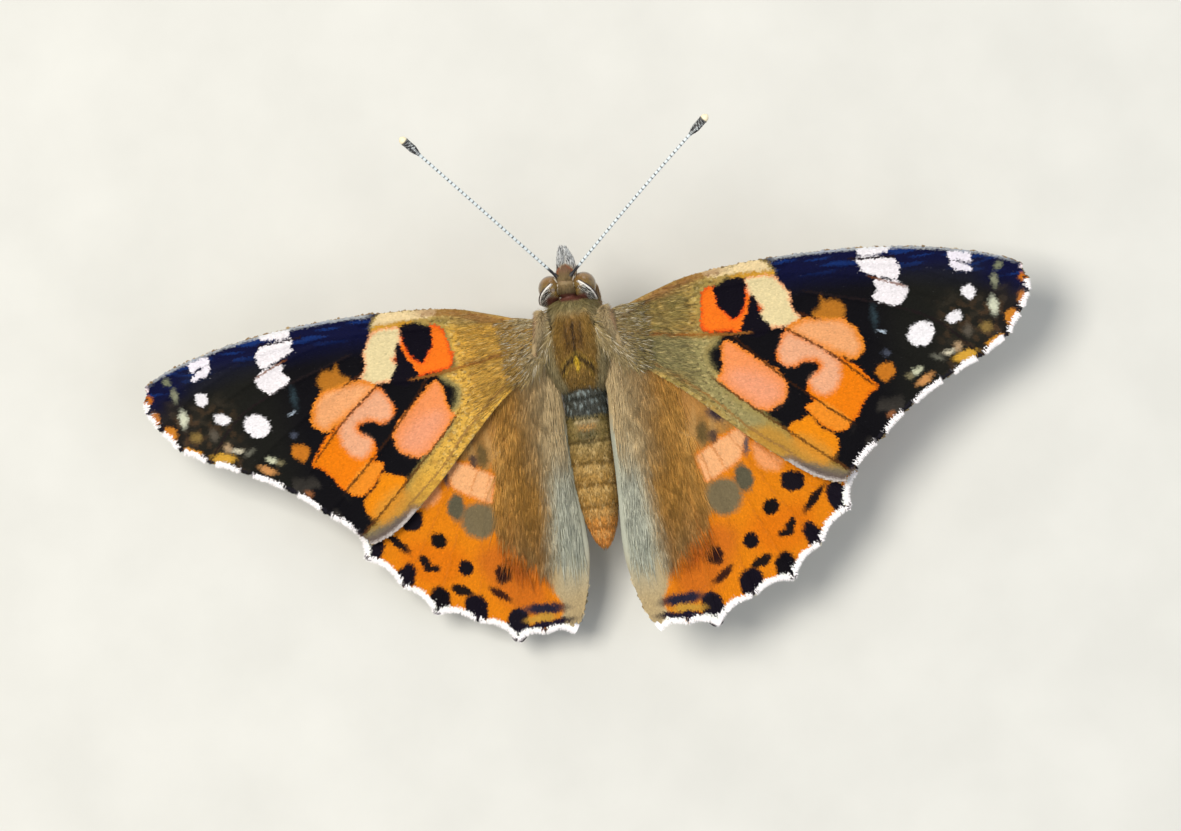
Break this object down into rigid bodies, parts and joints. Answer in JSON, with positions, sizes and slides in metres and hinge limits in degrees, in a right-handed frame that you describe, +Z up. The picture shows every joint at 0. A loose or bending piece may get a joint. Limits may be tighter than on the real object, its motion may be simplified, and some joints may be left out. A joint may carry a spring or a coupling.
{
  "type": "painted lady butterfly",
  "caption": "Life-size still model of a painted lady butterfly with spread orange, black and white wings, standing on its feet.",
  "frame": {"origin": "middle of the model's footprint at floor level, under the centre of its box", "axes": "+Z up from the floor, +Y towards the head, +X to the butterfly's right"},
  "size_m": [0.0678, 0.0378, 0.0201],
  "materials": {
    "body_hair": "long soft olive-brown hair",
    "abdomen_scales": "ringed golden-brown scales and short hair",
    "eye": "glossy faceted olive-brown",
    "palp_hair": "bristly grey-white and black",
    "horn": "brown cuticle",
    "antenna_scales": "black checkered with white scales",
    "forewing_scales": "powdery overlapping scales, orange, black and white",
    "hindwing_scales": "powdery overlapping scales, orange and brown, black spots",
    "leg": "buff scales over brown cuticle"
  },
  "bodies": {
    "root": {"head": "body_hair", "thorax": "body_hair", "abdomen": "abdomen_scales", "eye_left": "eye", "eye_right": "eye", "palp_left": "palp_hair", "palp_right": "palp_hair", "proboscis": "horn", "antenna_left": "antenna_scales", "antenna_right": "antenna_scales", "forewing_left": "forewing_scales", "forewing_right": "forewing_scales", "hindwing_left": "hindwing_scales", "hindwing_right": "hindwing_scales", "foreleg_left": "leg", "foreleg_right": "leg", "midleg_left": "leg", "midleg_right": "leg", "hindleg_left": "leg", "hindleg_right": "leg"}
  },
  "joints": []
}
